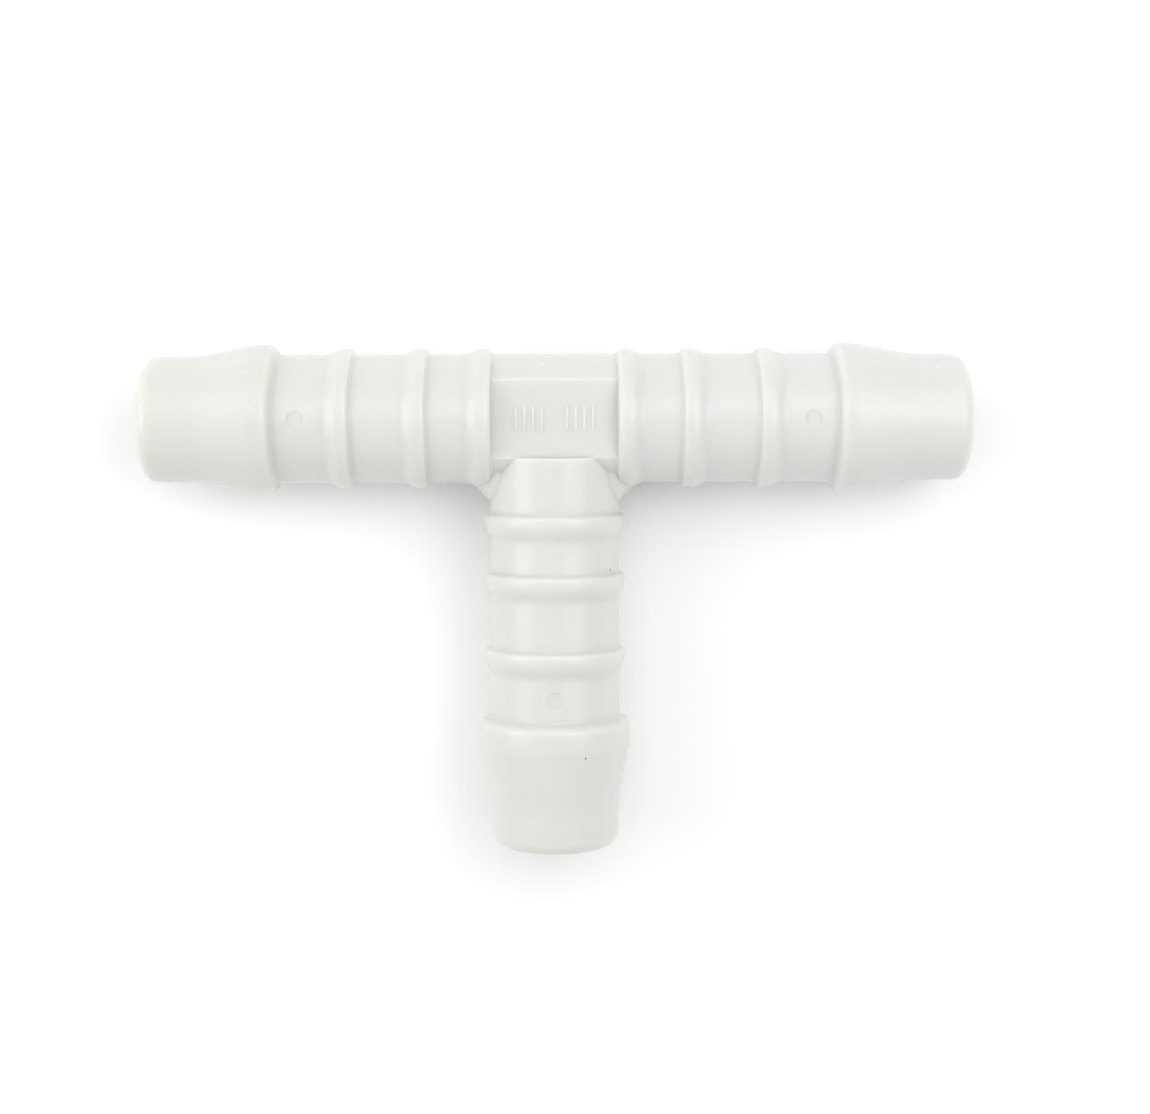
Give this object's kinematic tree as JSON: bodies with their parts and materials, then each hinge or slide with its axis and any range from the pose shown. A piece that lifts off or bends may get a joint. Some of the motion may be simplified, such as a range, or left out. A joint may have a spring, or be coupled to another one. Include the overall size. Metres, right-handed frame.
{
  "type": "barbed tee connector",
  "caption": "Barbed tee connector of milky plastic that joins flexible hoses: ribbed tails in line, and a ribbed branch tail at a right angle to them.",
  "frame": {"origin": "where the axes of the run bore and the branch bore cross", "axes": "+X along the run, the branch points to -Y, and +Z is the upper face of the hub as the tee lies flat"},
  "size_m": [0.0636, 0.0389, 0.0116],
  "materials": {
    "natural_plastic": "uncoloured, milky translucent moulded plastic with a satin surface"
  },
  "bodies": {
    "root": {"tee_hub": "natural_plastic", "left_tail": "natural_plastic", "right_tail": "natural_plastic", "branch_tail": "natural_plastic"}
  },
  "joints": []
}
